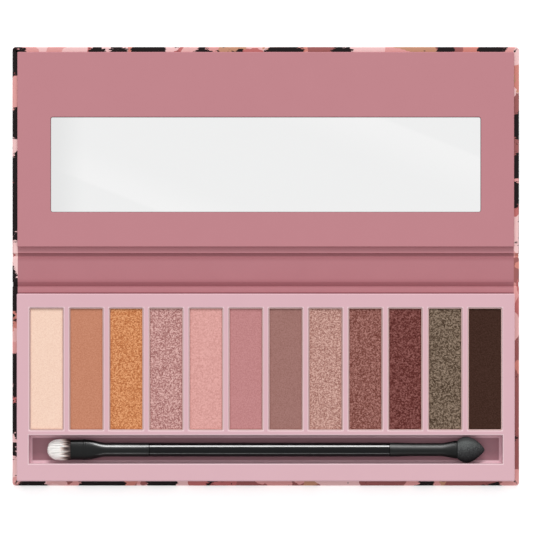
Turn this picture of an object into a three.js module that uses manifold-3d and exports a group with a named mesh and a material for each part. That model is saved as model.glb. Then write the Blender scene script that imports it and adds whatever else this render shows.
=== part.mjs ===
// Eyeshadow palette in a book-style case. Three paper-wrapped greyboard panels are hinged at two paper
// creases. The base carries a moulded tray with twelve pressed powders in pans and a double-ended brush
// in a slot; the lid carries a mirror in a rose frame. It lies open and flat, face up.
// Millimetres. X runs along the case, Y from the front edge to the lid's free edge, Z up from the table.
import * as THREE from "three";
import { mergeVertices } from "three/addons/utils/BufferGeometryUtils.js";
import Module from "manifold-3d";

// ---- Case ----
const caseWidth = 190;
const lidDepth = 77.44; // from the lid's crease to its free edge
const baseDepth = 74.55; // from the base's crease to its front edge
const caseCorner = 1.2;
const boardThickness = 1.5;
const wrapPaper = 0.2;
const linerPaper = 0.2;
const printBorder = 1.9; // wrap paper turned in over the board's inner face and left showing
const paperSlack = 0.05; // between a board or a liner and the paper folded round it
const creaseSlit = 0.15; // how far each panel stops short of its fold line
const foldClearance = 0.05; // between the folded spine board and the liner under it

// ---- Tray ----
const trayCorner = 0.4;
const foldedGap = 0.7; // between the folded spine and the tray or the lid panel
const rimChamfer = 0.3; // round every well, the slot and the mirror window
const wellCount = 12;
const wellRib = 1.92;
const wellSideMargin = 4.6;
const wellBackMargin = 5.2;
const wellFloor = 1;
const wellCorner = 0.5;
const slotRib = 1.72; // between the wells and the brush slot
const slotWidth = 10.65;
const slotEndMargin = 4.5;
const slotFloor = 0.8;
const slotHeadroom = 0.85; // from the top of the brush handle up to the tray's top
const slotFootInset = 1.4; // how far the rounded foot of the slot's wall comes in
const slotFootHeight = 1.8;
const frontRail = 6.54;

// ---- Pans and powders ----
const panWall = 0.3;
const panSideGap = 0.15; // between a pan and its well
const rimDrop = 0.5; // a pan's rim below the tray's top
const powderGap = 0.05;
const powderDrop = 0.45; // a powder's face below its pan's rim
const glueDotThickness = 0.25;
const glueDotDiameter = 8;

// ---- Lid panel and mirror ----
const panelThickness = 1.6;
const closedGap = 0.3; // between the tray and the lid panel in the closed case
const windowSideMargin = 12.45;
const windowFreeMargin = 24.4;
const windowCreaseMargin = 12.95;
const windowCorner = 0.8;
const mirrorGap = 0.15;
const mirrorRecess = 0.3;
const tapeThickness = 0.2;
const tapeInset = 3;

// ---- Closure magnets ----
const magnetDiameter = 4;
const trayMagnetHeight = 2;
const magnetGap = 0.15; // round a magnet in its hole
const magnetFaceGap = 0.05; // between a lid magnet and the papers over its faces
const magnetSkin = 1.2; // of the tray above its magnets
const magnetFromSide = 25;

// ---- Brush ----
const brushEndGap = 6.6; // from each tip to the slot's end
const brushFloorGap = 0.1; // under the handle
const brushSideShift = 0.15; // the brush lies this far forward of the slot's middle
const handleDiameter = 5.3;
const bristleWidth = 8.2;
const bristleThickness = 4;
const mouthWidth = 7.6; // of the bristle ferrule's flat mouth
const mouthThickness = 3.4;
const mouthFlat = 4.5; // length of the flat stretch
const beadLength = 1.4;
const beadProud = 0.15;
const mouthTaper = 7.6; // length from the bead to the round sleeve
const waistThinning = 0.2; // of the applicator ferrule's radius at its waist
const waistLength = 10;
const flareLength = 6.5;
const flareWidth = 6.7; // of the applicator ferrule's flat mouth
const flareThickness = 3.4;
const spongeSideGap = 0.275; // between the sponge and the slot's front wall
const spongeFloorGap = 0.25;
const ferruleWall = 0.3;
const ferruleFit = 0.1; // between a ferrule and what is glued into it
const tenonLength = 9; // of the handle inside each ferrule
const bristleLength = 8.9;
const bristleFerruleLength = 29.5;
const spongeLength = 10.1;
const spongeFerruleLength = 25.5;
const rootLength = 3.5; // of the bristles and the sponge inside their ferrules

// ---- Roundness ----
const cornerSegments = 3;
const roundSegments = 24;
const overcut = 1; // how far a cutting shape runs past the face it cuts

// ---- Worked out from the dimensions above ----
const stack = wrapPaper + boardThickness + linerPaper;
const creaseHeight = wrapPaper / 2; // the fold lines lie in the middle of the wrap paper
const trayHeight = slotFloor + brushFloorGap + handleDiameter + slotHeadroom;
const closedInside = trayHeight + closedGap + panelThickness;
const spineDepth = closedInside + 2 * (stack - creaseHeight); // crease to crease
const side = caseWidth / 2;
const frontEdge = -(baseDepth + spineDepth + lidDepth) / 2;
const baseCrease = frontEdge + baseDepth;
const lidCrease = baseCrease + spineDepth;
const freeEdge = lidCrease + lidDepth;
const spineSetback = stack - creaseHeight + foldClearance; // from a crease to the spine board
const furnitureSetback = stack - creaseHeight + foldedGap; // from a crease to the tray or lid panel
const inside = side - printBorder; // half width of the tray and the lid panel

const trayFront = frontEdge + printBorder;
const trayBack = baseCrease - furnitureSetback;
const trayTop = stack + trayHeight;
const slotFront = trayFront + frontRail;
const slotBack = slotFront + slotWidth;
const slotEnd = inside - slotEndMargin;
const wellsFront = slotBack + slotRib;
const wellsBack = trayBack - wellBackMargin;
const wellSpan = 2 * (inside - wellSideMargin);
const wellWidth = (wellSpan - (wellCount - 1) * wellRib) / wellCount;
const wellDepth = wellsBack - wellsFront;

const panWidth = wellWidth - 2 * panSideGap;
const panDepth = wellDepth - 2 * panSideGap;
const panCorner = wellCorner - panSideGap;
const panHeight = trayHeight - wellFloor - glueDotThickness - rimDrop;
const powderHeight = panHeight - panWall - powderDrop;

const panelFree = freeEdge - printBorder;
const panelCrease = lidCrease + furnitureSetback;
const windowSide = inside - windowSideMargin;
const windowFree = panelFree - windowFreeMargin;
const windowCrease = panelCrease + windowCreaseMargin;
const mirrorThickness = panelThickness - mirrorRecess - tapeThickness;

const lidMagnetHeight = boardThickness - 2 * magnetFaceGap;
const magnetX = side - magnetFromSide;
const trayMagnetY = trayFront + frontRail / 2;
const lidMagnetY = lidCrease + (baseCrease - trayMagnetY); // meets the tray magnet in the closed case

const brushHalf = slotEnd - brushEndGap;
const handleRadius = handleDiameter / 2;
const brushY = (slotFront + slotBack) / 2 - brushSideShift;
const brushZ = stack + slotFloor + brushFloorGap + handleRadius;
const handleStart = -brushHalf + bristleLength + bristleFerruleLength;
const handleEnd = brushHalf - spongeLength - spongeFerruleLength;

// ---- Solids ----
const wasm = await Module();
wasm.setup();

function solidOf(geometry) {
  geometry.deleteAttribute("normal");
  geometry.deleteAttribute("uv");
  const merged = mergeVertices(geometry, 1e-4);
  const vertProperties = merged.attributes.position.array;
  const triVerts = new Uint32Array(merged.index.array);
  return new wasm.Manifold(new wasm.Mesh({ numProp: 3, vertProperties, triVerts }));
}

function geometryOf(solid) {
  const { vertProperties, triVerts } = solid.getMesh();
  const geometry = new THREE.BufferGeometry();
  geometry.setAttribute("position", new THREE.BufferAttribute(vertProperties, 3));
  geometry.setIndex(new THREE.BufferAttribute(triVerts, 1));
  geometry.computeVertexNormals();
  return geometry;
}

// A rectangle whose two front corners and two back corners have their own radius, which may be 0.
function outline({ left, right, front, back, frontRadius = 0, backRadius = 0 }) {
  const shape = new THREE.Shape();
  const corners = [
    [right, front, -1, 1, frontRadius, 1.5],
    [right, back, -1, -1, backRadius, 0],
    [left, back, 1, -1, backRadius, 0.5],
    [left, front, 1, 1, frontRadius, 1],
  ];
  shape.moveTo(left + frontRadius, front);
  for (const [x, y, inX, inY, radius, startTurn] of corners) {
    const start = startTurn * Math.PI;
    if (radius > 0) {
      shape.absarc(x + inX * radius, y + inY * radius, radius, start, start + Math.PI / 2);
    } else {
      shape.lineTo(x, y);
    }
  }
  return shape;
}

// A flat plate of that outline from height bottom to height top.
function plate(size, bottom, top) {
  const geometry = new THREE.ExtrudeGeometry(outline(size), {
    depth: top - bottom,
    bevelEnabled: false,
    curveSegments: cornerSegments,
  });
  return solidOf(geometry.translate(0, 0, bottom));
}

function grown(size, by) {
  return {
    left: size.left - by,
    right: size.right + by,
    front: size.front - by,
    back: size.back + by,
    frontRadius: size.frontRadius + by,
    backRadius: size.backRadius + by,
  };
}

function centred(width, depth, radius, x = 0, y = 0) {
  return {
    left: x - width / 2,
    right: x + width / 2,
    front: y - depth / 2,
    back: y + depth / 2,
    frontRadius: radius,
    backRadius: radius,
  };
}

// What is cut away for a chamfer round a recess whose mouth is at height top.
function rimTool(size, top) {
  const geometry = new THREE.ExtrudeGeometry(outline(size), {
    depth: rimChamfer,
    bevelThickness: rimChamfer,
    bevelSize: rimChamfer,
    bevelSegments: 1,
    curveSegments: cornerSegments,
  });
  return solidOf(geometry.translate(0, 0, top));
}

// What is cut away for a straight-walled recess with a chamfered mouth.
function recessTool(size, bottom, top) {
  return plate(size, bottom, top + rimChamfer).add(rimTool(size, top));
}

// A round disc standing on height 0 and centred on the origin.
function disc(diameter, height) {
  const geometry = new THREE.CylinderGeometry(diameter / 2, diameter / 2, height, roundSegments);
  return geometry.rotateX(Math.PI / 2).translate(0, 0, height / 2);
}

// A solid of oval sections along +Y. Each station is [place along Y, half width, half thickness].
function loft(stations) {
  const along = stations.map(([place]) => place);
  const profile = along.map((place) => new THREE.Vector2(1, place));
  profile.unshift(new THREE.Vector2(0, along[0]));
  profile.push(new THREE.Vector2(0, along.at(-1)));
  const geometry = new THREE.LatheGeometry(profile, roundSegments);
  const position = geometry.attributes.position;
  const sections = [stations[0], ...stations, stations.at(-1)];
  for (let i = 0; i < position.count; i++) {
    const [, halfWidth, halfThickness] = sections[i % sections.length];
    position.setX(i, position.getX(i) * halfWidth);
    position.setZ(i, position.getZ(i) * halfThickness);
  }
  return solidOf(geometry);
}

// The same oval sections, smaller all round by a wall or a fit.
function shrunk(stations, by) {
  return stations.map(([place, width, thickness]) => [place, width - by, thickness - by]);
}

// ---- Materials ----
function paint(color, roughness, metalness = 0) {
  return new THREE.MeshStandardMaterial({ color, roughness, metalness });
}

const greyboard = paint("#a39b8f", 0.95);
const printedPaper = paint("#c98f8c", 0.6);
const rosePaper = paint("#b77a81", 0.7);
const rosePanel = paint("#c4878e", 0.55);
const palePlastic = paint("#dbb3bb", 0.35);
const tinplate = paint("#c9c9cb", 0.3, 1);
const hotGlue = paint("#e8dfc8", 0.5);
const magnetNickel = paint("#b9bcc0", 0.25, 1);
const mirrorGlass = paint("#efefef", 0.02, 1);
const foamTape = paint("#f2f2ef", 0.9);
const blackGloss = paint("#0a0a0d", 0.15);
const ferruleLacquer = paint("#16161a", 0.25, 0.6);
const bristleHair = paint("#d9c6b4", 0.8);
const spongeFoam = paint("#2b2a2d", 0.95);

const powders = [
  ["ivory_peach", "#f8d5c1", 0.9, 0],
  ["terracotta", "#c8876b", 0.9, 0],
  ["copper", "#d28c5f", 0.45, 0.4],
  ["mauve_glitter", "#c39490", 0.5, 0.3],
  ["coral_satin", "#dea39c", 0.6, 0.1],
  ["rose", "#c38787", 0.9, 0],
  ["taupe_mauve", "#a0736e", 0.9, 0],
  ["rose_gold", "#bf948a", 0.45, 0.4],
  ["red_brown_shimmer", "#906057", 0.5, 0.3],
  ["burgundy_sparkle", "#774642", 0.6, 0.2],
  ["olive_metallic", "#756455", 0.45, 0.4],
  ["dark_brown", "#422b23", 0.9, 0],
];

const palette = new THREE.Group();
const base = new THREE.Group();
const spine = new THREE.Group();
const lid = new THREE.Group();
const brush = new THREE.Group();
palette.add(base, spine, lid, brush);

function put(group, name, geometry, material, place = [0, 0, 0]) {
  const mesh = new THREE.Mesh(geometry, material);
  mesh.name = name;
  mesh.position.set(...place);
  group.add(mesh);
}

// ---- Case panels ----
// The plan of a panel, taken in by a side gap at its wrapped edges but not at its creases.
function basePlan(by) {
  const radius = Math.max(caseCorner - by, 0);
  return {
    left: -side + by,
    right: side - by,
    front: frontEdge + by,
    back: baseCrease - creaseSlit,
    frontRadius: radius,
  };
}

function lidPlan(by) {
  const radius = Math.max(caseCorner - by, 0);
  return {
    left: -side + by,
    right: side - by,
    front: lidCrease + creaseSlit,
    back: freeEdge - by,
    backRadius: radius,
  };
}

// The spine's plan between its boards' edges; the wrap alone reaches the creases.
function spinePlan(by, setback = spineSetback) {
  return {
    left: -side + by,
    right: side - by,
    front: baseCrease + setback,
    back: lidCrease - setback,
  };
}

// Paper over the outer face, round the wrapped edges and turned in over the inner face.
function wrapShell(plan) {
  const liner = plate(plan(printBorder), wrapPaper + boardThickness, stack + overcut);
  const board = plate(plan(wrapPaper), wrapPaper, wrapPaper + boardThickness);
  return plate(plan(0), 0, stack).subtract(board).subtract(liner);
}

function spineWrap() {
  const face = plate(spinePlan(0, creaseSlit), 0, wrapPaper);
  return wrapShell(spinePlan).add(face);
}

function boardOf(plan) {
  return plate(plan(wrapPaper + paperSlack), wrapPaper, wrapPaper + boardThickness);
}

function linerOf(plan) {
  return plate(plan(printBorder + paperSlack), stack - linerPaper, stack);
}

function lidBoard() {
  let board = boardOf(lidPlan);
  for (const x of [-magnetX, magnetX]) {
    const hole = disc(magnetDiameter + 2 * magnetGap, boardThickness + 2 * overcut);
    board = board.subtract(solidOf(hole.translate(x, lidMagnetY, wrapPaper - overcut)));
  }
  return board;
}

put(base, "base_board", geometryOf(boardOf(basePlan)), greyboard);
put(base, "base_wrap", geometryOf(wrapShell(basePlan)), printedPaper);
put(base, "base_liner", geometryOf(linerOf(basePlan)), rosePaper);
put(spine, "spine_board", geometryOf(boardOf(spinePlan)), greyboard);
put(spine, "spine_wrap", geometryOf(spineWrap()), printedPaper);
put(spine, "spine_liner", geometryOf(linerOf(spinePlan)), rosePaper);
put(lid, "lid_board", geometryOf(lidBoard()), greyboard);
put(lid, "lid_wrap", geometryOf(wrapShell(lidPlan)), printedPaper);
put(lid, "lid_liner", geometryOf(linerOf(lidPlan)), rosePaper);

// ---- Tray ----
function wellX(index) {
  return -inside + wellSideMargin + wellWidth / 2 + index * (wellWidth + wellRib);
}

const wellY = (wellsFront + wellsBack) / 2;
const slotPlan = {
  left: -slotEnd,
  right: slotEnd,
  front: slotFront,
  back: slotBack,
  frontRadius: 0,
  backRadius: 0,
};

// The slot's walls come in to its floor along a rounded foot, and its corners are mitred.
function slotTool() {
  const floorPlan = { ...grown(slotPlan, -slotFootInset), frontRadius: 0, backRadius: 0 };
  const foot = new THREE.ExtrudeGeometry(outline(floorPlan), {
    depth: slotFootHeight,
    bevelThickness: slotFootHeight,
    bevelSize: slotFootInset,
    bevelSegments: cornerSegments,
    curveSegments: cornerSegments,
  });
  const footTop = stack + slotFloor + slotFootHeight;
  const mouth = recessTool(slotPlan, footTop, trayTop);
  return solidOf(foot.translate(0, 0, footTop)).add(mouth);
}

function tray() {
  const plan = {
    left: -inside,
    right: inside,
    front: trayFront,
    back: trayBack,
    frontRadius: trayCorner,
    backRadius: trayCorner,
  };
  let body = plate(plan, stack, trayTop).subtract(slotTool());
  for (let index = 0; index < wellCount; index++) {
    const well = centred(wellWidth, wellDepth, wellCorner, wellX(index), wellY);
    body = body.subtract(recessTool(well, stack + wellFloor, trayTop));
  }
  const pocketHeight = trayHeight - magnetSkin;
  for (const x of [-magnetX, magnetX]) {
    const pocket = disc(magnetDiameter + 2 * magnetGap, pocketHeight + overcut);
    body = body.subtract(solidOf(pocket.translate(x, trayMagnetY, stack - overcut)));
  }
  return body;
}

put(base, "tray", geometryOf(tray()), palePlastic);

// ---- Pans, powders and glue dots ----
function pan() {
  const outer = plate(centred(panWidth, panDepth, panCorner), 0, panHeight);
  const hollow = centred(panWidth - 2 * panWall, panDepth - 2 * panWall, panCorner / 2);
  return outer.subtract(plate(hollow, panWall, panHeight + overcut));
}

function powder() {
  const gap = 2 * (panWall + powderGap);
  return plate(centred(panWidth - gap, panDepth - gap, panCorner / 2), 0, powderHeight);
}

const glueHeight = stack + wellFloor;
const panFloor = glueHeight + glueDotThickness;
powders.forEach(([name, color, roughness, metalness], index) => {
  const number = String(index + 1).padStart(2, "0");
  const x = wellX(index);
  const glueDot = disc(glueDotDiameter, glueDotThickness);
  put(base, "glue_dot_" + number, glueDot, hotGlue, [x, wellY, glueHeight]);
  put(base, "pan_" + number, geometryOf(pan()), tinplate, [x, wellY, panFloor]);
  const finish = paint(color, roughness, metalness);
  finish.name = name;
  put(base, "shadow_" + number, geometryOf(powder()), finish, [x, wellY, panFloor + panWall]);
});

// ---- Lid panel, mirror and tape ----
const windowPlan = {
  left: -windowSide,
  right: windowSide,
  front: windowCrease,
  back: windowFree,
  frontRadius: windowCorner,
  backRadius: windowCorner,
};

function lidPanel() {
  const plan = { left: -inside, right: inside, front: panelCrease, back: panelFree };
  const top = stack + panelThickness;
  return plate(plan, stack, top).subtract(recessTool(windowPlan, stack - overcut, top));
}

const mirrorBottom = stack + tapeThickness;
const mirrorPlan = grown(windowPlan, -mirrorGap);
const mirror = plate(mirrorPlan, mirrorBottom, mirrorBottom + mirrorThickness);
const tapePlan = { ...grown(mirrorPlan, -tapeInset), frontRadius: 0, backRadius: 0 };
const mirrorTape = plate(tapePlan, stack, mirrorBottom);

put(lid, "lid_panel", geometryOf(lidPanel()), rosePanel);
put(lid, "mirror", geometryOf(mirror), mirrorGlass);
put(lid, "mirror_tape", geometryOf(mirrorTape), foamTape);

// ---- Closure magnets ----
const trayMagnetZ = trayTop - magnetSkin - trayMagnetHeight;
const lidMagnetZ = wrapPaper + (boardThickness - lidMagnetHeight) / 2;
for (const [hand, x] of [["left", -magnetX], ["right", magnetX]]) {
  const trayMagnet = disc(magnetDiameter, trayMagnetHeight);
  const lidMagnet = disc(magnetDiameter, lidMagnetHeight);
  put(base, "tray_magnet_" + hand, trayMagnet, magnetNickel, [x, trayMagnetY, trayMagnetZ]);
  put(lid, "lid_magnet_" + hand, lidMagnet, magnetNickel, [x, lidMagnetY, lidMagnetZ]);
}

// ---- Brush ----
// The brush is built along +Y and turned to lie along +X, bristles at the left.
brush.position.set(0, brushY, brushZ);
brush.rotation.z = -Math.PI / 2;

const bristleRoot = -brushHalf + bristleLength;
const spongeRoot = brushHalf - spongeLength;

// The bristle ferrule: a flat crimped mouth, a bead, then a taper to the round handle.
const mouth = [mouthWidth / 2, mouthThickness / 2];
const bead = mouth.map((half) => half + beadProud);
const beadStart = bristleRoot + mouthFlat;
const taperStart = beadStart + beadLength;
const bristleSleeve = [
  [bristleRoot, ...mouth],
  [beadStart, ...mouth],
  [beadStart + beadLength / 2, ...bead],
  [taperStart, ...mouth],
  [taperStart + mouthTaper, handleRadius, handleRadius],
  [handleStart, handleRadius, handleRadius],
];

// The applicator ferrule: round and slightly waisted at the handle, flared flat at the sponge.
const waist = handleRadius - waistThinning;
const spongeSleeve = [
  [handleEnd, handleRadius, handleRadius],
  [handleEnd + waistLength, waist, waist],
  [spongeRoot - flareLength, waist, waist],
  [spongeRoot, flareWidth / 2, flareThickness / 2],
];

function sleeve(stations) {
  const bore = shrunk(stations, ferruleWall);
  const [[start, ...startHalves], [end, ...endHalves]] = [bore[0], bore.at(-1)];
  bore.unshift([start - overcut, ...startHalves]);
  bore.push([end + overcut, ...endHalves]);
  return loft(stations).subtract(loft(bore));
}

function handle() {
  const leftTenon = handleRadius - ferruleWall - ferruleFit;
  const rightTenon = waist - ferruleWall - ferruleFit;
  const profile = [
    [0, handleStart - tenonLength],
    [leftTenon, handleStart - tenonLength],
    [leftTenon, handleStart],
    [handleRadius, handleStart],
    [handleRadius, handleEnd],
    [rightTenon, handleEnd],
    [rightTenon, handleEnd + tenonLength],
    [0, handleEnd + tenonLength],
  ];
  return new THREE.LatheGeometry(profile.map((point) => new THREE.Vector2(...point)), roundSegments);
}

// The bristles and the sponge keep these shares of their width and thickness at each place from the
// tip, given as a share of their bare length, and go on as a plug inside their ferrules.
const bristleShape = [[0, 0.15], [0.06, 0.48], [0.17, 0.84], [0.35, 1], [0.6, 0.97], [0.93, 0.86]];
const spongeShape = [[0, 0.06], [0.05, 0.2], [0.2, 0.5], [0.45, 0.88], [0.65, 1], [0.88, 0.86]];
const plugFit = ferruleWall + ferruleFit;

const bristlePlug = mouth.map((half) => half - plugFit);
const bristleStations = bristleShape.map(([place, share]) => [
  -brushHalf + place * bristleLength,
  (share * bristleWidth) / 2,
  (share * bristleThickness) / 2,
]);
bristleStations.push([bristleRoot - ferruleFit, ...bristlePlug]);
bristleStations.push([bristleRoot + rootLength, ...bristlePlug]);

const spongeWidth = slotWidth - 2 * (brushSideShift + spongeSideGap);
const spongeThickness = 2 * (handleRadius + brushFloorGap - spongeFloorGap);
const flareSlope = (flareWidth / 2 - waist) / flareLength;
const spongePlug = [flareWidth / 2 - flareSlope * rootLength, flareThickness / 2].map(
  (half) => half - plugFit,
);
const spongeStations = spongeShape.map(([place, share]) => [
  brushHalf - place * spongeLength,
  (share * spongeWidth) / 2,
  (share * spongeThickness) / 2,
]);
spongeStations.push([spongeRoot + ferruleFit, ...spongePlug]);
spongeStations.push([spongeRoot - rootLength, ...spongePlug]);
spongeStations.reverse();

put(brush, "handle", handle(), blackGloss);
put(brush, "bristle_ferrule", geometryOf(sleeve(bristleSleeve)), ferruleLacquer);
put(brush, "bristles", geometryOf(loft(bristleStations)), bristleHair);
put(brush, "applicator_ferrule", geometryOf(sleeve(spongeSleeve)), ferruleLacquer);
put(brush, "sponge_tip", geometryOf(loft(spongeStations)), spongeFoam);

export default palette;
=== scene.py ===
# %% [markdown]
# # An eyeshadow palette, opened flat
# The object is a card case that opens like a book, with a moulded tray of twelve pressed powders and a
# double-ended brush in one half and a mirror in the other. The design file gives the frame: every size
# and place below is read from its pieces, so that each new surface lands exactly where the design says.
# Shapes are worked in millimetres here and are turned into metres once, when a piece is finished.

# %% Load the frame
import math
import random

import bmesh
import bpy
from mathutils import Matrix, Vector, noise


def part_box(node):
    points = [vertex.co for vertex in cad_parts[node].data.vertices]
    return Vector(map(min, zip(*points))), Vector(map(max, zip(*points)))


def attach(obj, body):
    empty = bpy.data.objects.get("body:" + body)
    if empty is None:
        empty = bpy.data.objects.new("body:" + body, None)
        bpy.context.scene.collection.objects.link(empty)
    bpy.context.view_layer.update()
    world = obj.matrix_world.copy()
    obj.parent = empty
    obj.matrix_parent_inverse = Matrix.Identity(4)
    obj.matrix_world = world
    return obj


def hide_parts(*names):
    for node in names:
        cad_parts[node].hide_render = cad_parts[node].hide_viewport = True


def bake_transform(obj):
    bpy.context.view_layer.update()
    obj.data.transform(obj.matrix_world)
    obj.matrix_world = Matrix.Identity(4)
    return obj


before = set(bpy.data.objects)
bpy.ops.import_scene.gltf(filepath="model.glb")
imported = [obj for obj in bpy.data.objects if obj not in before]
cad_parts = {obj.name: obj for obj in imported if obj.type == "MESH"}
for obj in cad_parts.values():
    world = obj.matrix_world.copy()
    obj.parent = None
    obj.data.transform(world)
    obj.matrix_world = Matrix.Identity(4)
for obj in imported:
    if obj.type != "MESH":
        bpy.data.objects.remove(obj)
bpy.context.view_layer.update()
METRE = 1000.0


def box(node):
    """The lowest and highest corner of a piece of the design, in millimetres."""
    low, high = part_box(node)
    return low * METRE, high * METRE


def measure(shape):
    return " x ".join(f"{METRE * side:.2f}" for side in shape)


# %% [markdown]
# ## Writing a finish as a sum
# A finish is a small network of nodes. Wiring it by hand is slow to read, so one class stands for a
# value that is still travelling between nodes. Adding or multiplying two of them adds the Math node
# that does it, and a plain number may stand on either side.

# %% A value on its way through a finish
class Flow:
    def __init__(self, finish, socket):
        self.finish = finish
        self.socket = socket

    def maths(self, operation, *values):
        return self.finish.node("ShaderNodeMath", {"operation": operation}, dict(enumerate(values)))

    def __add__(self, other):
        return self.maths("ADD", self, other)

    def __sub__(self, other):
        return self.maths("SUBTRACT", self, other)

    def __rsub__(self, other):
        return self.maths("SUBTRACT", other, self)

    def __mul__(self, other):
        return self.maths("MULTIPLY", self, other)

    def __lt__(self, other):
        return self.maths("LESS_THAN", self, other)

    def __gt__(self, other):
        return self.maths("GREATER_THAN", self, other)

    __radd__ = __add__
    __rmul__ = __mul__

    def size(self):
        return self.maths("ABSOLUTE", self)

    def rise(self, start, end):
        """0 below start and 1 above end, with a soft step between."""
        ends = {"Value": self, "From Min": start, "From Max": end}
        return self.finish.node("ShaderNodeMapRange", {"interpolation_type": "SMOOTHSTEP"}, ends)


# %% [markdown]
# ## The finish itself
# Every finish here is one Principled shader. What is the same all over a surface is a number on the
# shader's own socket, and only what changes over it, such as colour or bump, arrives by a link.

# %% A finish and its nodes
class Finish:
    def __init__(self, name, **constants):
        self.material = bpy.data.materials.new(name)
        self.material.use_nodes = True
        self.tree = self.material.node_tree
        self.shader = self.tree.nodes["Principled BSDF"]
        for socket, value in constants.items():
            self.shader.inputs[socket.replace("_", " ")].default_value = value

    def node(self, kind, settings=None, values=None, output=0):
        """Adds a node: its settings first, then the values or links of its sockets."""
        made = self.tree.nodes.new(kind)
        for setting, value in (settings or {}).items():
            if setting == "stops":
                self.lay_stops(made.color_ramp, *value)
            else:
                setattr(made, setting, value)
        for socket, value in (values or {}).items():
            self.feed(made.inputs[socket], value)
        return Flow(self, made.outputs[output])

    def lay_stops(self, ramp, between, stops):
        ramp.interpolation = between
        for (place, colour), spare in zip(stops, [*ramp.elements, *[None] * len(stops)]):
            stop = spare or ramp.elements.new(place)
            stop.position = place
            stop.color = colour

    def feed(self, socket, value):
        if isinstance(value, Flow):
            self.tree.links.new(value.socket, socket)
        else:
            socket.default_value = value

    def place(self, stretch=(1, 1, 1)):
        """Where a point is on the piece, in millimetres, with each axis stretched."""
        where = self.node("ShaderNodeTexCoord", output="Object")
        return self.vector("MULTIPLY", where, [METRE * axis for axis in stretch])

    def vector(self, operation, *values):
        return self.node("ShaderNodeVectorMath", {"operation": operation}, dict(enumerate(values)))

    def axes(self, where):
        return [self.node("ShaderNodeSeparateXYZ", values={0: where}, output=i) for i in range(3)]

    def grain(self, where, size, detail=2.0, rough=0.5, output=0):
        """Cloudy noise from 0 to 1 whose clouds are about size millimetres across."""
        values = {"Vector": where, "Scale": 1 / size, "Detail": detail, "Roughness": rough}
        return self.node("ShaderNodeTexNoise", values=values, output=output)

    def cells(self, where, size, output="Distance"):
        """Voronoi cells about size millimetres across: a distance from 0 up, or a colour per cell."""
        values = {"Vector": where, "Scale": 1 / size}
        return self.node("ShaderNodeTexVoronoi", values=values, output=output)

    def mix(self, share, first, second):
        return self.node("ShaderNodeMix", {"data_type": "RGBA"}, {0: share, 6: first, 7: second}, 2)

    def ramp(self, value, stops, between="LINEAR"):
        return self.node("ShaderNodeValToRGB", {"stops": (between, stops)}, {"Fac": value})

    def bump(self, height, depth, strength=1.0):
        """Relief of depth millimetres where height is 1."""
        values = {"Height": height, "Distance": depth / METRE, "Strength": strength}
        self.feed(self.shader.inputs["Normal"], self.node("ShaderNodeBump", values=values))

    def show(self, **sockets):
        """Links what changes over the surface to the shader, and hands the finished material over."""
        for socket, value in sockets.items():
            self.feed(self.shader.inputs[socket.replace("_", " ")], value)
        print(f"finish {self.material.name}: {len(self.tree.nodes)} nodes")
        return self.material


# %% [markdown]
# ## Colour as a printer names it
# A colour chart gives numbers from 0 to 255 that already hold the eye's curve. A shader wants plain
# amounts of light, so each number goes back through that curve. The studio light below adds up to a
# little more than 1 on a flat sheet, and dividing by it keeps a painted colour true in the picture.

# %% Colours
STUDIO_LIGHT = 1.18


def plain_light(number):
    share = number / 255
    return share / 12.92 if share <= 0.04045 else ((share + 0.055) / 1.055) ** 2.4


def tint(*colour):
    return (*[plain_light(number) / STUDIO_LIGHT for number in colour], 1.0)


print(f"paper white sends back {tint(255, 255, 255)[0]:.2f} of the light")


# %% [markdown]
# ## The studio
# The palette lies flat on a white sheet and is seen from straight above with a long lens, so that its
# sides stay parallel. A pale sky gives even light, brightest overhead, which is what the mirror shows.
# A broad soft lamp behind the top edge gives each step a soft shadow on its near side. A strip lamp
# and a dim card opposite only make reflections, and only on the brush: they draw the lines along its
# gloss. Linked to everything, they would burn the tray white for anyone who looks from the side.

# %% Camera
LENS = 400.0
SENSOR = 36.0
VIEW_WIDTH = 0.19976
VIEW_CENTRE = Vector((0.00028, -0.00007, 0.004))
CLIP = (0.1, 20.0)

camera = bpy.data.objects.new("studio_camera", bpy.data.cameras.new("studio_camera"))
bpy.context.scene.collection.objects.link(camera)
camera.data.lens = LENS
camera.data.sensor_width = SENSOR
camera.data.clip_start, camera.data.clip_end = CLIP
camera.location = VIEW_CENTRE + Vector((0, 0, VIEW_WIDTH * LENS / SENSOR))
bpy.context.scene.camera = camera
bpy.context.scene.view_settings.view_transform = "Standard"
print(f"camera {camera.location.z:.3f} m above the sheet")

# %% Sky
SKY_LOW = 0.42
SKY_HIGH = 1.05
SKY_FADE = (0.2, 0.98)

world = bpy.data.worlds.new("studio_sky")
bpy.context.scene.world = world
world.use_nodes = True
sky = world.node_tree
background = sky.nodes["Background"]
direction = sky.nodes.new("ShaderNodeTexCoord")
height = sky.nodes.new("ShaderNodeSeparateXYZ")
fade = sky.nodes.new("ShaderNodeMapRange")
fade.interpolation_type = "SMOOTHSTEP"
for end, value in zip(("From Min", "From Max", "To Min", "To Max"), (*SKY_FADE, SKY_LOW, SKY_HIGH)):
    fade.inputs[end].default_value = value
sky.links.new(direction.outputs["Generated"], height.inputs[0])
sky.links.new(height.outputs["Z"], fade.inputs["Value"])
sky.links.new(fade.outputs[0], background.inputs["Strength"])
background.inputs["Color"].default_value = (1, 1, 1, 1)
print(f"sky: {SKY_LOW} low down, {SKY_HIGH} overhead")


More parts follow.
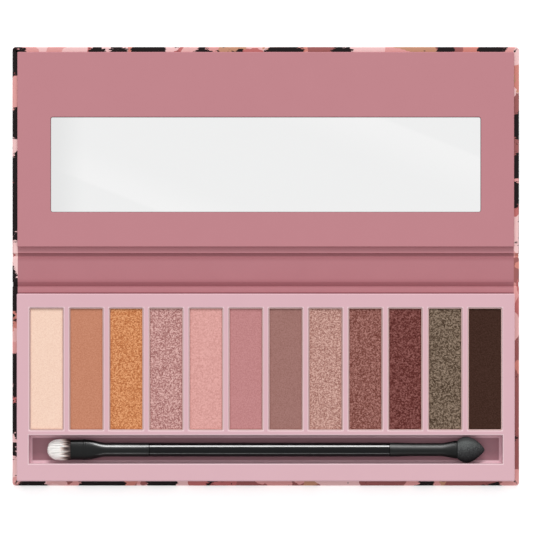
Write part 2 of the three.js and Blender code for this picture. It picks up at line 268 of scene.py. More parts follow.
# %% Lamps
def lamp(name, size, elevation, azimuth, distance, power):
    """A flat lamp that faces the palette. Azimuth 0 is past the lid's far edge."""
    light = bpy.data.lights.new(name, "AREA")
    light.shape = "RECTANGLE"
    light.size, light.size_y = size
    light.energy = power
    made = bpy.data.objects.new(name, light)
    bpy.context.scene.collection.objects.link(made)
    up, round_ = math.radians(elevation), math.radians(azimuth)
    way = Vector((math.sin(round_) * math.cos(up), math.cos(round_) * math.cos(up), math.sin(up)))
    made.location = way * distance
    made.rotation_euler = (-way).to_track_quat("-Z", "Y").to_euler()
    return made


lamp("soft_lamp", (2.0, 1.0), elevation=36, azimuth=0, distance=4.0, power=92.0)
strip_lamp = lamp("strip_lamp", (1.1, 0.6), elevation=29, azimuth=0, distance=1.3, power=120.0)
front_card = lamp("front_card", (1.1, 0.7), elevation=14, azimuth=180, distance=1.3, power=20.0)
glossy_pieces = bpy.data.collections.new("glossy_pieces")
for reflection in (strip_lamp, front_card):
    reflection.visible_diffuse = False
    reflection.light_linking.receiver_collection = glossy_pieces
print("lamps:", [light.name for light in bpy.data.lights])

# %% [markdown]
# ## The sheet under the palette
# A small product is often shot on a light table: a white acrylic sheet lit faintly from below, which
# lifts the shadow round the product without hiding where it touches. A hint of grain keeps the sheet
# from being a perfect plane of one number.

# %% Floor
FLOOR_SIZE = 3.0
FLOOR_DROP = 0.00005
TABLE_GLOW = 0.30

sheet_card = Finish("light_table", Roughness=0.9, Specular_IOR_Level=0.1, Emission_Strength=TABLE_GLOW)
sheet_card.shader.inputs["Emission Color"].default_value = (1, 1, 1, 1)
grain = sheet_card.grain(sheet_card.place(), 1.5, 3)
white = sheet_card.mix(grain, (0.94, 0.94, 0.94, 1), (0.97, 0.97, 0.97, 1))
sheet_card.show(Base_Color=white)

bm = bmesh.new()
bmesh.ops.create_grid(bm, x_segments=2, y_segments=2, size=FLOOR_SIZE / 2)
bmesh.ops.translate(bm, vec=(0, 0, -FLOOR_DROP), verts=bm.verts)
floor_mesh = bpy.data.meshes.new("floor")
bm.to_mesh(floor_mesh)
bm.free()
floor = bpy.data.objects.new("floor", floor_mesh)
floor_mesh.materials.append(sheet_card.material)
bpy.context.scene.collection.objects.link(floor)
print(f"floor: {FLOOR_SIZE} m square")

# %% [markdown]
# ## Finishing a piece
# A new mesh is merged, its faces are turned outwards, and it is scaled to metres, so that its object
# stays at the origin. Then it gets its finish, rides on its part of the case and stands for the plain
# design piece that it replaces. Faces that lie square to the case stay flat, so that the rounding of
# an edge doesn't creep over the broad faces beside it. Points closer than WELD are one point, and a
# point within NEAR of a line counts as on it. Bevel's own clamp is off: one short edge anywhere would
# make it shrink every rounding of the piece to nothing.

# %% From a bmesh to a piece
WELD = 1e-5
NEAR = 1e-3
LEVEL = 0.99999


def finish_piece(bm, name, finish, slot, body=None, stands_for=(), crease=35, turn=True, flats=True):
    """Edges folded by more than crease degrees stay sharp, and with flats level faces stay flat."""
    if turn:
        bmesh.ops.remove_doubles(bm, verts=bm.verts, dist=WELD)
        bmesh.ops.recalc_face_normals(bm, faces=bm.faces)
    bmesh.ops.scale(bm, vec=[1 / METRE] * 3, verts=bm.verts)
    mesh = bpy.data.meshes.new(name)
    bm.to_mesh(mesh)
    bm.free()
    mesh.set_sharp_from_angle(angle=math.radians(crease))
    for face in mesh.polygons:
        face.use_smooth = not (flats and max(map(abs, face.normal)) > LEVEL)
    mesh.materials.append(finish)
    piece = bpy.data.objects.new(name, mesh)
    bpy.context.scene.collection.objects.link(piece)
    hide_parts(*stands_for)
    if body:
        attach(piece, body)
    if body == "brush":
        glossy_pieces.objects.link(piece)
    print(f"{name}: {len(mesh.polygons)} faces, {measure(piece.dimensions)} mm")
    return piece


def block(low, high):
    """A closed block between two corners."""
    bm = bmesh.new()
    bmesh.ops.create_cube(bm, size=1)
    bmesh.ops.scale(bm, vec=high - low, verts=bm.verts)
    bmesh.ops.translate(bm, vec=(low + high) / 2, verts=bm.verts)
    return bm


def round_edges(bm, edges, radius, segments=3):
    bmesh.ops.bevel(
        bm,
        geom=edges,
        offset=radius,
        offset_type="OFFSET",
        segments=segments,
        profile=0.5,
        affect="EDGES",
        clamp_overlap=False,
        material=-1,
    )


def draw_on(bm, row, edges):
    """Draws a row of edges on into a new row, and returns its points in the same order."""
    drawn = bmesh.ops.extrude_edge_only(bm, edges=edges)["geom"]
    fresh = {part for part in drawn if isinstance(part, bmesh.types.BMVert)}
    edges = [part for part in drawn if isinstance(part, bmesh.types.BMEdge)]
    edges = [edge for edge in edges if edge.verts[0] in fresh and edge.verts[1] in fresh]
    twins = [next(e.other_vert(v) for e in v.link_edges if e.other_vert(v) in fresh) for v in row]
    return twins, edges


def upright(edge):
    a, b = edge.verts
    return abs((a.co - b.co).normalized().z) > 0.99


def at_height(item, z):
    return all(abs(vert.co.z - z) < NEAR for vert in item.verts)


def is_fold(edge):
    """An edge where a flat top or bottom meets a wall."""
    if len(edge.link_faces) != 2:
        return False
    tilts = sorted(abs(face.normal.z) for face in edge.link_faces)
    return tilts[0] < 0.3 and tilts[1] > 0.9


def wall_facing(bm, way):
    return [face for face in bm.faces if face.normal.dot(Vector(way)) > 0.9]


def top_faces(bm, z):
    return [face for face in wall_facing(bm, (0, 0, 1)) if at_height(face, z)]


def round_uprights(bm, radius, segments=3):
    round_edges(bm, [edge for edge in bm.edges if upright(edge)], radius, segments)


def round_rims(bm, z, radius, segments=3):
    rims = [edge for edge in bm.edges if is_fold(edge) and at_height(edge, z)]
    round_edges(bm, rims, radius, segments)


# %% [markdown]
# ## Printed paper
# The case is wrapped in satin paper with a painterly print: patches of pink, coral and tan under
# loose black dabs. Real print is one flat picture. Here it is built from two layers of Voronoi cells:
# each cell of the first gets one flat colour from a list, and the second is cut off at a distance from
# its centres, which leaves a dab. Noise pushes the cut about, so that dabs end raggedly, and a slow
# drift along both axes keeps the case from having the same mix of colours all over.

# %% Print finish
BLACK_INK = tint(31, 24, 25)
FIELD_INKS = [
    (0.00, tint(245, 204, 203)),
    (0.24, tint(229, 166, 163)),
    (0.42, tint(196, 116, 114)),
    (0.54, tint(238, 188, 186)),
    (0.66, tint(214, 140, 128)),
    (0.80, tint(200, 150, 122)),
    (0.94, tint(160, 98, 96)),
]
WANDER = 5.0
FIELD_SIZE, FIELD_SHIFT = 12.0, (37.0, 11.0, 5.0)
DAB_SIZE, DAB_SHIFT, DAB_REACH = 13.0, (6.0, 3.0, 2.0), 0.47
SPECK_SIZE, SPECK_REACH = 5.0, 0.07


def printed_paper():
    finish = Finish("printed_paper", Specular_IOR_Level=0.08)
    where = finish.place()
    across, along, _ = finish.axes(where)
    wander = finish.grain(where, WANDER, 2, output="Color")
    push = finish.vector("SUBTRACT", wander, (0.5, 0.5, 0.5))
    bent = finish.vector("MULTIPLY_ADD", push, (WANDER, WANDER, WANDER), where)
    moved = finish.vector("ADD", bent, FIELD_SHIFT)
    chance = finish.cells(moved, FIELD_SIZE, "Color")
    pick = finish.axes(chance)[0] + across * 0.0022 - along * 0.0014
    field = finish.ramp(pick.rise(-0.05, 1.05), FIELD_INKS, "CONSTANT")
    dabs = finish.cells(finish.vector("ADD", bent, DAB_SHIFT), DAB_SIZE)
    bristle_marks = finish.grain(finish.place((1.0, 3.2, 1.0)), 2.2, 4, 0.7)
    dab = (dabs + (bristle_marks - 0.5) * 0.34 + across * 0.0007 - along * 0.0004) < DAB_REACH
    speck = (finish.cells(moved, SPECK_SIZE) + (bristle_marks - 0.5) * 0.2) < SPECK_REACH
    inked = finish.mix(dab, field, BLACK_INK)
    inked = finish.mix(speck, inked, BLACK_INK)
    fibre = finish.grain(where, 0.28, 4, 0.6)
    wear_and_painted_light = finish.mix((fibre - 0.4) * 0.02, inked, tint(246, 226, 220))
    finish.bump(fibre, 0.02, 0.5)
    return finish.show(Base_Color=wear_and_painted_light, Roughness=0.42 + fibre * 0.14)


print_paper = printed_paper()

# %% [markdown]
# ## Liner paper, panel card and greyboard
# The inside is covered with a plain uncoated paper, dyed rose. Its fibres show as very fine bumps
# and a slight unevenness of the dye. Shade is painted into it: on the spine the paper is painted
# darker, darker still towards the creases, and a painted shadow line runs along the tray's back
# edge. The frame round the mirror is a smoother board of the same dye. Greyboard is recycled
# pulp: grey-brown with darker flecks, and it is seen only at cut ends.

# %% Paper finishes
PAPER = 0.2
CREASE_SHADE = 1.5
CONTACT_SHADOW_WIDTH = 0.75
ROSE = (tint(200, 139, 146), tint(192, 131, 138))


def dyed_paper(name, colour, shade, rough, relief, crease_shade_edges=None, contact_shadow=None):
    """Given a strip's two edges, shade is painted darker towards them; given a y, a painted dark shadow
    line starts there.
    """
    finish = Finish(name, Specular_IOR_Level=0.04)
    where = finish.place()
    fibre = finish.grain(finish.place((0.35, 1.0, 1.0)), 0.22, 4, 0.6)
    cloud = finish.grain(where, 9.0, 3)
    dye = finish.mix(fibre * 0.45 + cloud * 0.55, colour, shade)
    if crease_shade_edges:
        front, back = crease_shade_edges
        # Painted shade: the paper darkens from near both edges of the spine's liner outwards, so the
        # crease strips that share this finish are painted dark as the grooves' shade.
        from_middle = (finish.axes(where)[1] - (front + back) / 2).size()
        painted_crease_shade = from_middle.rise((back - front) / 2 - CREASE_SHADE, (back - front) / 2 + PAPER)
        dye = finish.mix(painted_crease_shade * 0.7, dye, tint(170, 109, 116))
    # Painted shadow: the liner is dark under the tray and for a short way past its back edge, as the
    # shadow line there.
    if contact_shadow:
        scuff_and_painted_shadow = 1 - finish.axes(where)[1].rise(contact_shadow, contact_shadow + CONTACT_SHADOW_WIDTH)
        dye = finish.mix(scuff_and_painted_shadow * 0.9, dye, tint(118, 56, 64))
    finish.bump(fibre, relief, 0.6)
    return finish.show(Base_Color=dye, Roughness=rough + fibre * 0.1)


rose_liner = dyed_paper("rose_liner", *ROSE, 0.6, 0.012)
base_liner = dyed_paper("base_liner", *ROSE, 0.6, 0.012, contact_shadow=box("tray")[1].y)
spine_edges = [corner.y for corner in box("spine_liner")]
# Painted shade: the spine's liner is the same rose paper as on the boards, given darker colours.
shaded_spine_tones = (tint(190, 129, 136), tint(182, 121, 128))
spine_liner = dyed_paper("spine_liner", *shaded_spine_tones, 0.6, 0.012, crease_shade_edges=spine_edges)
rose_panel = dyed_paper("rose_panel", tint(198, 137, 144), tint(194, 133, 140), 0.55, 0.006)


def greyboard():
    finish = Finish("greyboard", Roughness=0.95, Specular_IOR_Level=0.1)
    where = finish.place((0.4, 0.4, 2.0))
    fleck = finish.grain(where, 0.3, 4, 0.7)
    pulp = finish.ramp(fleck, [(0.3, tint(118, 110, 101)), (0.7, tint(176, 168, 156))])
    finish.bump(fleck, 0.04)
    return finish.show(Base_Color=pulp)


board_pulp = greyboard()

# %% [markdown]
# ## Papers over the boards
# A case maker glues one sheet over three boards and turns its edges in. Over each board the sheet is
# a shallow tray: a bottom, walls where the paper folds up, and a narrow border turned in on top. A
# block with its crease side taken off, its folds rounded and the middle of its top cut out is that
# shape, and Solidify then gives it the thickness of paper. Modelling the hidden underside too keeps
# the case right from below and when it is closed.

# %% Cover papers
CASE_CORNER = 1.2
FOLD_RADIUS = 0.3
BORDER = box("base_liner")[0].x - box("base_wrap")[0].x
TO_FRONT, TO_BACK = (0, -1, 0), (0, 1, 0)


def on_line(edge, y):
    return all(abs(vert.co.y - y) < NEAR for vert in edge.verts)


def paper_over(node, body, low, high, creases, reach=()):
    """creases are the directions of the open sides; reach gives the bottom's own two ends."""
    bm = block(low, high)
    wrapped = [y for way, y in ((TO_FRONT, low.y), (TO_BACK, high.y)) if way not in creases]
    corners = [e for e in bm.edges if upright(e) and any(on_line(e, y) for y in wrapped)]
    round_edges(bm, corners, CASE_CORNER, 8)
    for way in creases:
        bmesh.ops.delete(bm, geom=wall_facing(bm, way), context="FACES_ONLY")
    round_edges(bm, [e for e in bm.edges if is_fold(e)], FOLD_RADIUS, 3)
    top = top_faces(bm, high.z)
    bmesh.ops.inset_region(
        bm, faces=top, thickness=BORDER - FOLD_RADIUS, use_even_offset=True, use_boundary=False
    )
    bmesh.ops.delete(bm, geom=top, context="FACES")
    for place, end in zip((low.y, high.y), reach):
        lip = [e for e in bm.edges if at_height(e, low.z) and e.is_boundary and on_line(e, place)]
        pulled = bmesh.ops.extrude_edge_only(bm, edges=lip)["geom"]
        tips = [v for v in pulled if isinstance(v, bmesh.types.BMVert)]
        bmesh.ops.translate(bm, vec=(0, end - place, 0), verts=tips)
    name = node.replace("wrap", "cover_paper")
    piece = finish_piece(bm, name, print_paper, "printed_paper", body, [node])
    wall = piece.modifiers.new("paper thickness", "SOLIDIFY")
    wall.thickness = PAPER / METRE
    wall.offset = -1
    wall.use_even_offset = True
    return piece


base_low, base_high = box("base_wrap")
lid_low, lid_high = box("lid_wrap")
spine_low, spine_high = box("spine_wrap")
spine_board = box("spine_board")
paper_over("base_wrap", "base", base_low, base_high, [TO_BACK])
paper_over("lid_wrap", "lid", lid_low, lid_high, [TO_FRONT])
raised_low = Vector((spine_low.x, spine_board[0].y, spine_low.z))
raised_high = Vector((spine_high.x, spine_board[1].y, spine_high.z))
ends = (spine_low.y, spine_high.y)
paper_over("spine_wrap", "spine", raised_low, raised_high, [TO_FRONT, TO_BACK], ends)

# %% [markdown]
# ## The creases
# Between two boards the papers have nothing inside and fold. Under the case the printed sheet crosses
# the crease flat. On top the liner sinks into the groove until it almost meets it, and so do the turned
# in borders at both ends. Each strip here starts as one edge that is drawn out along the groove's
# curve, and is thickened straight down, so that its ends don't push into the boards beside it.

# %% Crease strips
GROOVE_STEPS = 14
STRIP_THICKNESS = 0.9 * PAPER


def groove(top, bottom, roundness, turned):
    """The liner's height across a crease: a sharp drop at the panel, then a long slope to the spine."""

    def height(share):
        from_panel = 1 - share if turned else share
        return bottom + (top - bottom) * abs(2 * from_panel**0.45 - 1) ** roundness

    return height


def level(share):
    return PAPER


def crease_strip(name, bodies, left, right, front, back, finish, slot, height, steps, bend_end):
    bm = bmesh.new()
    row = [bm.verts.new((x, front, height(0))) for x in (left, right)]
    edges = [bm.edges.new(row)]
    for step in range(1, steps + 1):
        share = step / steps
        row, edges = draw_on(bm, row, edges)
        for vert in row:
            vert.co.y = front + share * (back - front)
            vert.co.z = height(share)
    under = bmesh.ops.extrude_face_region(bm, geom=bm.faces[:], use_keep_orig=True)["geom"]
    sunken = [part for part in under if isinstance(part, bmesh.types.BMVert)]
    bmesh.ops.translate(bm, vec=(0, 0, -STRIP_THICKNESS), verts=sunken)
    piece = finish_piece(bm, name, finish, slot)
    start, end = (front, bend_end) if bodies[0] == "base" else (bend_end, back)
    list(bodies)
    start / METRE
    end / METRE
    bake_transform(piece)
    return piece


# %% Strips at both creases
liner_top = box("base_liner")[1].z
liner_end = box("base_liner")[1].x
case_end = base_high.x
SHOULDER = 0.7
LEVEL_STEPS = 4
BASE_GROOVE = (1.15, 1.2)
LID_GROOVE = (0.85, 4.0)
grooves = [
    ("base", ("base", "spine"), base_high.y, spine_board[0].y, spine_low.y, BASE_GROOVE),
    ("lid", ("spine", "lid"), spine_board[1].y, lid_low.y, spine_high.y, LID_GROOVE),
]
printed = (print_paper, "printed_paper")
turn_ins = (("left", PAPER - case_end, -liner_end), ("right", liner_end, case_end - PAPER))
for name, bodies, front, back, face_end, profile in grooves:
    at_lid = name == "lid"
    shoulder = back - SHOULDER * (back - front) if at_lid else front + SHOULDER * (back - front)
    sunk = (groove(liner_top, *profile, at_lid), GROOVE_STEPS, shoulder)
    sides = (-liner_end, liner_end, front, back)
    crease_strip(f"{name}_crease_liner", bodies, *sides, spine_liner, "rose_liner", *sunk)
    for hand, near, far in turn_ins:
        crease_strip(f"{name}_crease_turn_in_{hand}", bodies, near, far, front, back, *printed, *sunk)
    outer = (-case_end, case_end, *((face_end, back) if at_lid else (front, face_end)))
    crease_strip(f"{name}_crease_paper", bodies, *outer, *printed, level, LEVEL_STEPS, face_end)

# %% [markdown]
# ## The moulded tray
# The tray is one injection moulding in pale pink: satin on top, with softly rounded rims. It starts as
# a block whose top is ruled into bands, and each pocket's face is pushed down. A ruling that runs on
# from a pocket's edge would pinch the rounding there, so it then gives way to one line through the
# middles of the pockets. Last, the upright corners and the rims are rounded. Cutting with booleans
# would leave ragged faces at the rims. The brush pocket narrows to its floor along a rounded foot.
# The colour also holds painted light: a pale painted highlight along the rim of every opening, and
# in the brush pocket walls painted paler than the top above a floor painted darker as shade.

# %% Tray finish
# DRAFT_BAND is how far from the brush pocket's walls the painted floor shade takes over from the painted
# pale walls.
DRAFT_BAND = 1.1
RIM_HIGHLIGHT_WIDTH = 0.5


def painted_rim_highlight(beside, past):
    """1 in a narrow band round an opening, for the rim's painted highlight, from how far out of it a
    point is along each axis.
    """
    out = beside.maths("MAXIMUM", beside, past)
    return (out > -RIM_RADIUS) * (1 - out.rise(0.5 * RIM_HIGHLIGHT_WIDTH, RIM_HIGHLIGHT_WIDTH))


def moulded_plastic(pocket_depth, rim):
    finish = Finish("pale_pink_plastic", Specular_IOR_Level=0.2)
    where = finish.place()
    across, along, up = finish.axes(where)
    cloud = finish.grain(where, 14.0, 2)
    spark = finish.grain(where, 0.16, 2)
    face = finish.mix(cloud, tint(226, 183, 192), tint(222, 179, 188))
    from_front, from_back, from_end = along - slot_front, slot_back - along, slot_end - across.size()
    # Painted light and shade in the brush pocket: below its rim the walls are painted paler than the top,
    # and the floor darker, for the light and shade that fall there.
    deep = 1 - up.rise(rim - pocket_depth, rim - RIM_RADIUS)
    inside = (from_front > 0) * (from_back > 0) * (from_end > 0) * deep
    floor = inside
    for distance in (from_front, from_back, from_end):
        floor = floor * distance.rise(0.75 * DRAFT_BAND, 1.25 * DRAFT_BAND)
    body = finish.mix(inside, face, tint(241, 198, 208))
    body = finish.mix(floor, body, tint(168, 123, 132))
    first = pan_boxes[0][0].x + PAN_WIDTH / 2
    column = across.maths("WRAP", across - first, PAN_PITCH / 2, -PAN_PITCH / 2)
    beside = column.size() - (PAN_WIDTH / 2 + WELL_GAP)
    past = (along - (well_front + well_back) / 2).size() - (well_back - well_front) / 2
    row_end = across.size() - (well_sides[-1] + RIM_HIGHLIGHT_WIDTH)
    # Painted highlight: a paler line round each pan's well and round the brush pocket, where the rounded
    # rims would catch the light.
    line = painted_rim_highlight(beside, past) * (row_end < 0)
    from_middle = (along - (slot_front + slot_back) / 2).size() - (slot_back - slot_front) / 2
    line = line + painted_rim_highlight(from_middle, across.size() - slot_end)
    body = finish.mix(line * (up > rim - RIM_RADIUS), body, tint(240, 209, 214))
    finish.bump(spark, 0.004, 0.5)
    return finish.show(Base_Color=body, Roughness=0.34 + spark * 0.1)


# %% Tray shape
TRAY_CORNER = 0.4
RIM_RADIUS = 0.38
WELL_CORNER = 0.5
WELL_GAP = 0.05
SLOT_FLOOR = 0.8
SLOT_SHADE = 2.5
SLOT_FOOT = (1.4, 1.8)
FOOT_STEPS = 6
SHADES = [f"{number:02d}" for number in range(1, 13)]


def rule_across(bm, faces, axis, places):
    """Cuts only those faces along straight lines."""
    normal = Vector((axis == "x", axis == "y", 0))
    for place in places:
        geometry = list({item for face in faces(bm) for item in (*face.verts, *face.edges, face)})
        bmesh.ops.bisect_plane(bm, geom=geometry, dist=WELD, plane_co=normal * place, plane_no=normal)


def join_across(bm, top, front, back):
    """Replaces the rulings along a row of pockets by one line through their middles."""
    rule_across(bm, faces_between(top, front, back), "y", [(front + back) / 2])
    rulings = []
    for edge in bm.edges:
        if at_height(edge, top) and (on_line(edge, front) or on_line(edge, back)):
            if all(face.normal.z > 0.9 for face in edge.link_faces):
                rulings.append(edge)
    bmesh.ops.dissolve_edges(bm, edges=rulings, use_verts=True)


def faces_between(top, front, back, left=-math.inf, right=math.inf):
    def chosen(bm):
        found = []
        for face in bm.faces:
            centre = face.calc_center_median()
            if face.normal.z > 0.9 and at_height(face, top):
                if front < centre.y < back and left < centre.x < right:
                    found.append(face)
        return found

    return chosen


def push_down(bm, face, depth, inset=0.0):
    """Draws one flat face straight down, a little smaller if inset is given."""
    pushed = bmesh.ops.extrude_discrete_faces(bm, faces=[face])["faces"][0]
    middle = pushed.calc_center_bounds()
    spans = [max(abs(vert.co[axis] - middle[axis]) for vert in pushed.verts) for axis in (0, 1)]
    for vert in pushed.verts:
        for axis in (0, 1):
            vert.co[axis] -= inset * (vert.co[axis] - middle[axis]) / spans[axis]
        vert.co.z -= depth
    return pushed


# %% Tray sizes
tray_low, tray_high = box("tray")
FRONT_RAIL = 6.54
SLOT_WIDTH = 10.65
SLOT_END_MARGIN = 4.5

slot_front = tray_low.y + FRONT_RAIL
slot_back = slot_front + SLOT_WIDTH
slot_end = tray_high.x - SLOT_END_MARGIN
slot_floor = tray_low.z + SLOT_FLOOR
pan_boxes = [box("pan_" + shade) for shade in SHADES]
PAN_WIDTH = pan_boxes[0][1].x - pan_boxes[0][0].x
PAN_PITCH = pan_boxes[1][0].x - pan_boxes[0][0].x
well_front = pan_boxes[0][0].y - WELL_GAP
well_back = pan_boxes[0][1].y + WELL_GAP
well_floor = box("glue_dot_01")[0].z
well_sides = [x for low, high in pan_boxes for x in (low.x - WELL_GAP, high.x + WELL_GAP)]
print(f"{len(pan_boxes)} wells every {PAN_PITCH:.2f} mm, brush slot {SLOT_WIDTH} x {2 * slot_end:.2f} mm")


# %% Tray piece
def tray():
    top = tray_high.z
    bm = block(tray_low, tray_high)
    round_uprights(bm, TRAY_CORNER)
    whole = faces_between(top, tray_low.y, tray_high.y)
    rule_across(bm, whole, "y", (slot_front, slot_back, well_front, well_back))
    rule_across(bm, faces_between(top, slot_front, slot_back), "x", (-slot_end, slot_end))
    rule_across(bm, faces_between(top, well_front, well_back), "x", well_sides)
    for left, right in zip(well_sides[::2], well_sides[1::2]):
        [mouth] = faces_between(top, well_front, well_back, left, right)(bm)
        push_down(bm, mouth, top - well_floor)
    [mouth] = faces_between(top, slot_front, slot_back, -slot_end, slot_end)(bm)
    foot_inset, foot_height = SLOT_FOOT
    floor = push_down(bm, mouth, top - slot_floor - foot_height)
    turns = [math.pi / 2 * step / FOOT_STEPS for step in range(FOOT_STEPS + 1)]
    for start, end in zip(turns, turns[1:]):
        inset = foot_inset * (math.cos(start) - math.cos(end))
        floor = push_down(bm, floor, foot_height * (math.sin(end) - math.sin(start)), inset)
    join_across(bm, top, slot_front, slot_back)
    join_across(bm, top, well_front, well_back)
    walls = [e for e in bm.edges if upright(e) and min(v.co.z for v in e.verts) > well_floor - NEAR]
    walls = [e for e in walls if e.verts[0].co.y > slot_back + NEAR]
    round_edges(bm, walls, WELL_CORNER, 4)
    round_rims(bm, top, RIM_RADIUS)
    plastic = moulded_plastic(SLOT_SHADE, top)
    return finish_piece(bm, "moulded_tray", plastic, "pale_pink_plastic", "base", ["tray"], crease=30)


tray()

# %% [markdown]
# ## Tinplate pans
# Each powder is pressed into a thin stamped pan that is glued into its well. Only the rim shows, as a
# fine bright line. The pan is a block whose top is inset by the wall and pushed down to the floor.
# Rolled tin has a grain along the pan, which is noise stretched in one direction.

# %% Pans
PAN_CORNER = 0.35
PAN_WALL = 0.3
PAN_RIM = 0.04


def tinplate():
    finish = Finish("tinplate", Metallic=1.0)
    rolled = finish.grain(finish.place((1.0, 0.08, 1.0)), 0.12, 3)
    finish.bump(rolled, 0.003, 0.5)
    # The pink in the tin's colour is a painted reflection of the pink tray round the pans.
    colour = finish.mix(rolled, tint(226, 196, 192), tint(246, 216, 212))
    return finish.show(Base_Color=colour, Roughness=0.62 + rolled * 0.16)


pan_metal = tinplate()


def stamped_pan(shade):
    low, high = box("pan_" + shade)
    bm = block(low, high)
    round_uprights(bm, PAN_CORNER, 4)
    [top] = top_faces(bm, high.z)
    bmesh.ops.inset_individual(bm, faces=[top], thickness=PAN_WALL, use_even_offset=True)
    push_down(bm, top, high.z - low.z - PAN_WALL)
    round_rims(bm, high.z, PAN_RIM, 2)
    finish_piece(bm, "stamped_pan_" + shade, pan_metal, "tinplate", "base", ["pan_" + shade])


for shade in SHADES:
    stamped_pan(shade)

# %% [markdown]
# ## Pressed powders
# Matt powders are pigment and talc pressed through a cloth, so their top keeps a faint weave-fine
# grain. Shimmers hold flakes of mica: pale sparks and dark gaps side by side, coarser the more sparkle
# there is. The relief is real: the top is a fine grid whose points are moved up and down by noise,
# which is what a raking light would find. Colour follows the same idea, flake by flake.

# %% Powder shades
# name, mean colour, light flake, dark gap, flake in mm, sparkle from 0 to 1
POWDERS = [
    ("ivory_peach", (249, 214, 194), (255, 224, 204), (241, 204, 183), 0.45, 0.0),
    ("terracotta", (200, 135, 107), (210, 146, 118), (190, 124, 96), 0.45, 0.0),
    ("copper", (205, 130, 82), (240, 174, 124), (172, 98, 54), 0.62, 0.7),
    ("mauve_glitter", (187, 135, 131), (232, 188, 182), (148, 94, 91), 0.62, 0.8),
    ("coral_satin", (222, 163, 157), (238, 180, 174), (206, 146, 140), 0.55, 0.25),
    ("rose", (195, 135, 135), (206, 146, 147), (184, 123, 124), 0.45, 0.0),
    ("taupe_mauve", (160, 116, 109), (172, 127, 121), (148, 104, 97), 0.45, 0.0),
    ("rose_gold", (184, 136, 125), (226, 184, 172), (147, 100, 90), 0.62, 0.75),
    ("red_brown_shimmer", (133, 80, 72), (182, 130, 121), (102, 52, 44), 0.62, 0.7),
    ("burgundy_sparkle", (104, 52, 48), (152, 98, 93), (80, 34, 30), 0.7, 0.6),
    ("olive_metallic", (101, 83, 68), (156, 136, 118), (62, 46, 33), 0.7, 0.8),
    ("dark_brown", (65, 43, 35), (76, 52, 45), (56, 34, 27), 0.45, 0.0),
]


def pressed_powder(name, mean, light, dark, flake, sparkle):
    matt = 1 - sparkle
    finish = Finish(name, Specular_IOR_Level=0.03 + 0.1 * sparkle)
    where = finish.place()
    chips = finish.axes(finish.cells(where, flake * 0.55, "Color"))[0]
    cloud = finish.grain(where, flake, 3, 0.65)
    slow = finish.grain(where, 6.0, 2)
    mixed = cloud * (0.55 + 0.45 * matt) + chips * (0.45 * sparkle) + slow * 0.06
    lean = mixed.rise(0.26, 0.76)
    stops = [(0.0, tint(*dark)), (0.48, tint(*mean)), (1.0, tint(*light))]
    colour = finish.ramp(lean, stops)
    finish.bump(chips * sparkle + cloud, 0.02 + 0.05 * sparkle, 0.35 + 0.35 * sparkle)
    glitter = chips.rise(0.75, 0.95) * (0.2 * sparkle)
    rough = 0.92 - lean * (0.4 * sparkle)
    return finish.show(Base_Color=colour, Roughness=rough, Metallic=glitter)


# %% Powder cakes
CAKE_STEP = 0.26
CAKE_EDGE = 0.26
MATT_RELIEF = 0.012
FLAKE_RELIEF = 0.045


def powder_cake(shade, recipe):
    name, *_, flake, sparkle = recipe
    low, high = box("shadow_" + shade)
    relief = MATT_RELIEF + FLAKE_RELIEF * sparkle
    half = (high - low) / 2
    columns, rows = round(2 * half.x / CAKE_STEP), round(2 * half.y / CAKE_STEP)
    bm = bmesh.new()
    bmesh.ops.create_grid(bm, x_segments=columns, y_segments=rows, size=1)
    bmesh.ops.scale(bm, vec=(half.x, half.y, 1), verts=bm.verts)
    middle = (low + high) / 2
    bmesh.ops.translate(bm, vec=(middle.x, middle.y, high.z - relief), verts=bm.verts)
    for vert in bm.verts:
        edge = min(half.x - abs(vert.co.x - middle.x), half.y - abs(vert.co.y - middle.y))
        inward = min(edge / CAKE_EDGE, 1)
        fall = CAKE_EDGE * 0.5 * (1 - math.sqrt(1 - (1 - inward) ** 2))
        lift = relief * noise.noise(vert.co / flake) * inward
        vert.co.z += lift - fall
    skirt = [edge for edge in bm.edges if edge.is_boundary]
    drawn = bmesh.ops.extrude_edge_only(bm, edges=skirt)["geom"]
    for vert in drawn:
        if isinstance(vert, bmesh.types.BMVert):
            vert.co.z = low.z
    bmesh.ops.holes_fill(bm, edges=[edge for edge in bm.edges if edge.is_boundary], sides=0)
    cake = pressed_powder(*recipe)
    made = (bm, "pressed_powder_" + shade, cake, "powder_" + name)
    return finish_piece(*made, "base", ["shadow_" + shade], crease=60)


for shade, recipe in zip(SHADES, POWDERS):
    powder_cake(shade, recipe)

# %% [markdown]
# ## The frame round the mirror
# A thick rose panel lies on the lid with a window cut in it, and the mirror sits in the window on
# foam tape. A block is ruled by four planes, the middle is opened right through and its walls are
# bridged, then the window's corners and every rim are rounded a little.

# %% Mirror panel
MIRROR_GAP = 0.15
WINDOW_CORNER = 0.8
PANEL_EDGE = 0.25


